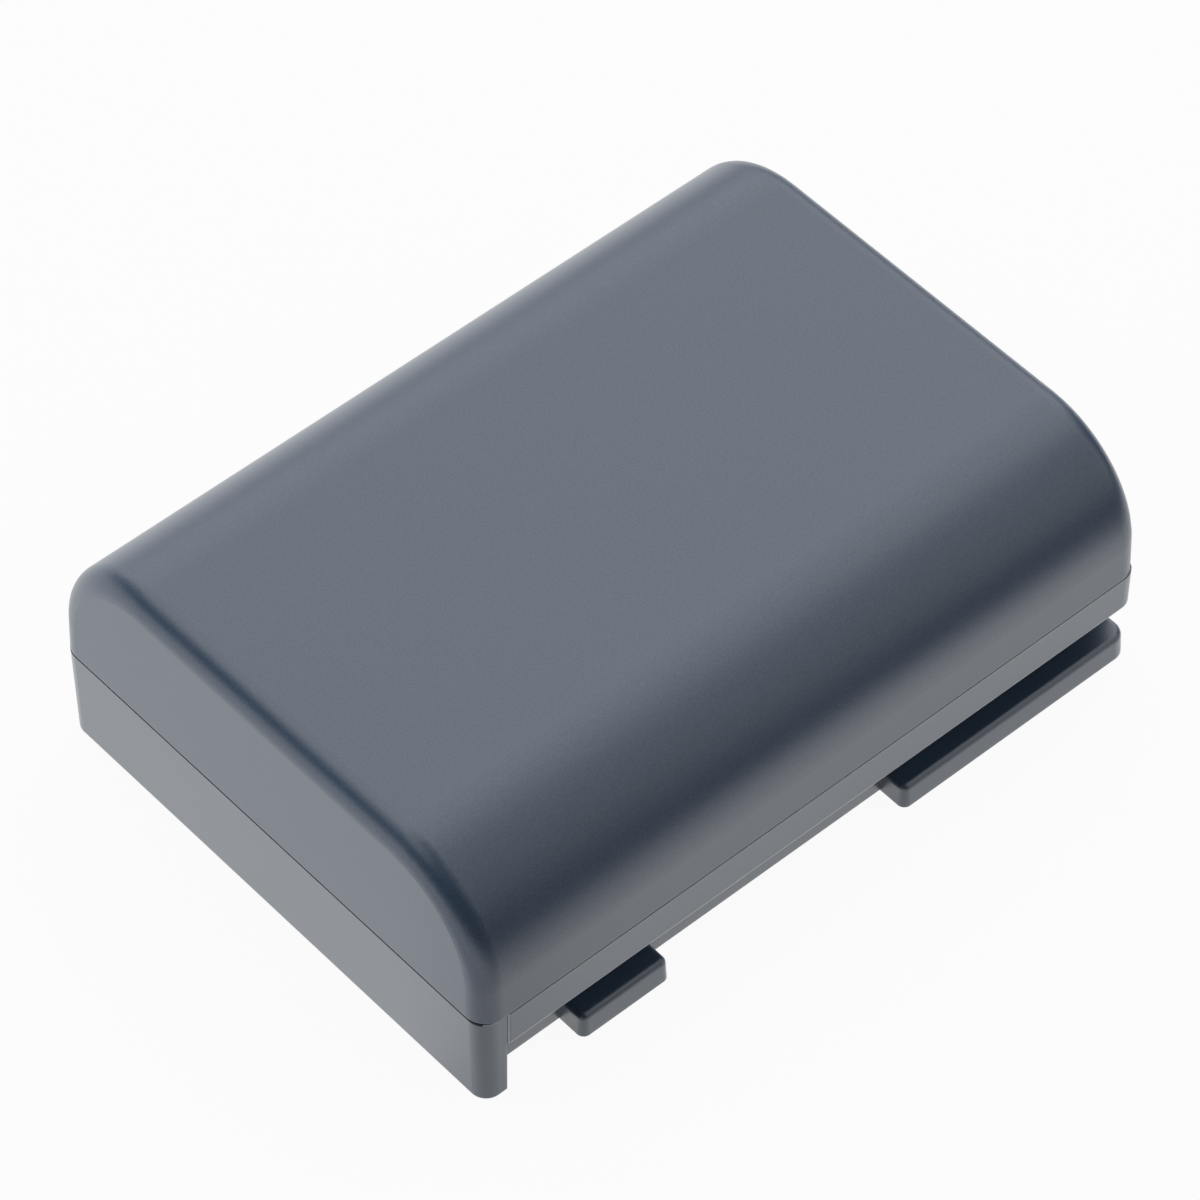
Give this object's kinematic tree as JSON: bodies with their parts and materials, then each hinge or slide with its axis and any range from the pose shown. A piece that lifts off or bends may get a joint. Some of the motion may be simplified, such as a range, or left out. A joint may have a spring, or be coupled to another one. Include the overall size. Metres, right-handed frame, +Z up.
{
  "type": "camera battery",
  "caption": "Flat rechargeable camera battery pack: a moulded case with a rounded top that slides on hook rails, with recessed contacts in one end.",
  "frame": {"origin": "middle of the flat base, on the plane that the hooks and the base share", "axes": "+X along the pack towards the contact end, +Y across it, +Z up to the rounded top"},
  "size_m": [0.0452, 0.0334, 0.0153],
  "materials": {
    "case": "satin, finely textured moulding in slate grey",
    "can": "plain drawn can",
    "paper": "fibre paper",
    "tape": "clear amber film",
    "foam": "closed-cell foam",
    "nickel": "plain rolled nickel",
    "laminate": "solder mask over glass laminate",
    "chip": "black moulding compound",
    "ceramic": "fired ceramic",
    "contact": "thin gold plating"
  },
  "bodies": {
    "root": {"upper_case": "case", "lower_case": "case", "lower_cell": "can", "upper_cell": "can", "lower_lid_paper": "paper", "upper_lid_paper": "paper", "floor_tape": "tape", "cell_spacer": "tape", "top_cushion": "foam", "end_cushion": "foam", "series_strip": "nickel", "tap_strip": "nickel", "positive_strip": "nickel", "negative_strip": "nickel", "circuit_board": "laminate", "protection_chip": "chip", "switch_transistors": "chip", "chip_resistors": "chip", "chip_fuse": "ceramic", "chip_capacitors": "ceramic", "thermistor": "ceramic", "positive_contact": "contact", "sense_contact": "contact", "negative_contact": "contact"}
  },
  "joints": []
}
